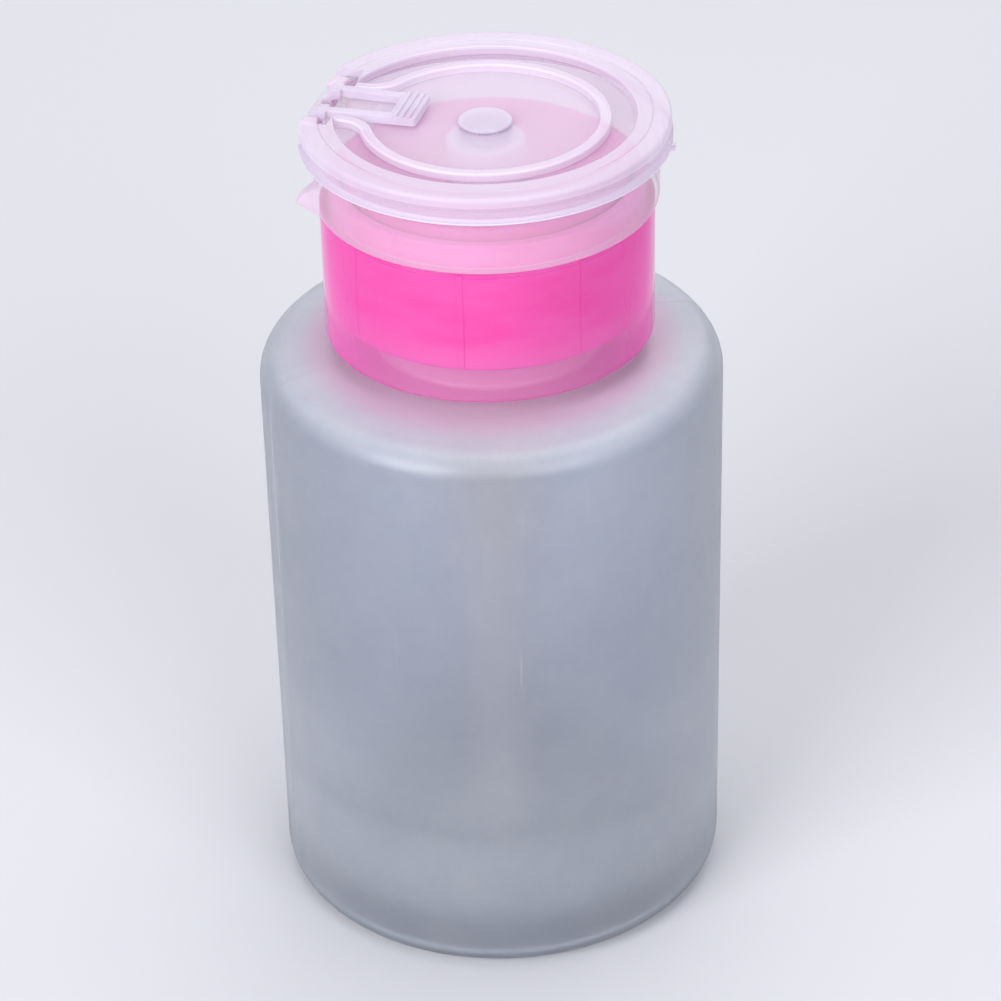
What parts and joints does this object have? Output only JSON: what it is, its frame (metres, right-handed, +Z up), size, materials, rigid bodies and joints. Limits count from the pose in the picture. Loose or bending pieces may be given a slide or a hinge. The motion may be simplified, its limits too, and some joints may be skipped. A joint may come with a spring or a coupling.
{
  "type": "press dish pump bottle",
  "caption": "Round frosted pump bottle with a press-down dish, a screw closure in a clear sleeve and a hinged clear lid.",
  "frame": {"origin": "middle of the base, on the surface that the bottle stands on", "axes": "+Z up along the bottle's axis, -X towards the lid's hinge"},
  "size_m": [0.06, 0.06, 0.1128],
  "materials": {
    "frosted_bottle": "frosted",
    "natural_clear": "satin",
    "natural_pale": "satin",
    "pink_cap": "satin",
    "pink_sleeve": "gloss",
    "steel": "bright",
    "seal": "matte"
  },
  "bodies": {
    "bottle": {"bottle": "frosted_bottle"},
    "pump_unit": {"pump_cylinder": "natural_pale", "dip_tube": "natural_pale", "ball_retainer": "natural_pale", "neck_gasket": "seal", "stem_guide": "natural_pale", "return_spring": "steel"},
    "inlet_valve": {"inlet_ball": "steel"},
    "closure": {"screw_cap": "pink_cap", "outer_sleeve": "pink_sleeve", "flip_band": "natural_clear", "hinge_pin": "steel"},
    "plunger": {"press_dish": "pink_cap", "nozzle_cap": "natural_pale", "piston_stem": "natural_pale", "piston_seal": "seal"},
    "outlet_valve": {"outlet_ball": "steel"},
    "lid": {"lid_shell": "natural_clear", "lid_stopper": "natural_pale", "hinge_loop": "natural_pale"}
  },
  "joints": [
    {"name": "closure_lift", "type": "slide", "parent": "bottle", "child": "pump_unit", "axis": [0, 0, 1], "range_m": [0, 0.0024]},
    {"name": "cap_turn", "type": "hinge", "parent": "pump_unit", "child": "closure", "pos_m": [0, 0, 0.09], "axis": [0, 0, 1], "range_deg": [0, 270]},
    {"name": "lid_hinge", "type": "hinge", "parent": "closure", "child": "lid", "pos_m": [-0.0219, 0, 0.10995], "axis": [0, -1, 0], "range_deg": [0, 115]},
    {"name": "dish_press", "type": "slide", "parent": "pump_unit", "child": "plunger", "axis": [0, 0, 1], "range_m": [-0.0045, 0], "stiffness_N_per_m": 300, "springref_m": 0.005, "deforming": ["return_spring"]},
    {"name": "inlet_ball_lift", "type": "slide", "parent": "pump_unit", "child": "inlet_valve", "axis": [0, 0, 1], "range_m": [0, 0.002]},
    {"name": "outlet_ball_lift", "type": "slide", "parent": "plunger", "child": "outlet_valve", "axis": [0, 0, 1], "range_m": [0, 0.001]}
  ],
  "couplings": [
    {"joint": "closure_lift", "follows": "cap_turn", "m_per_rad": 0.0005093}
  ]
}
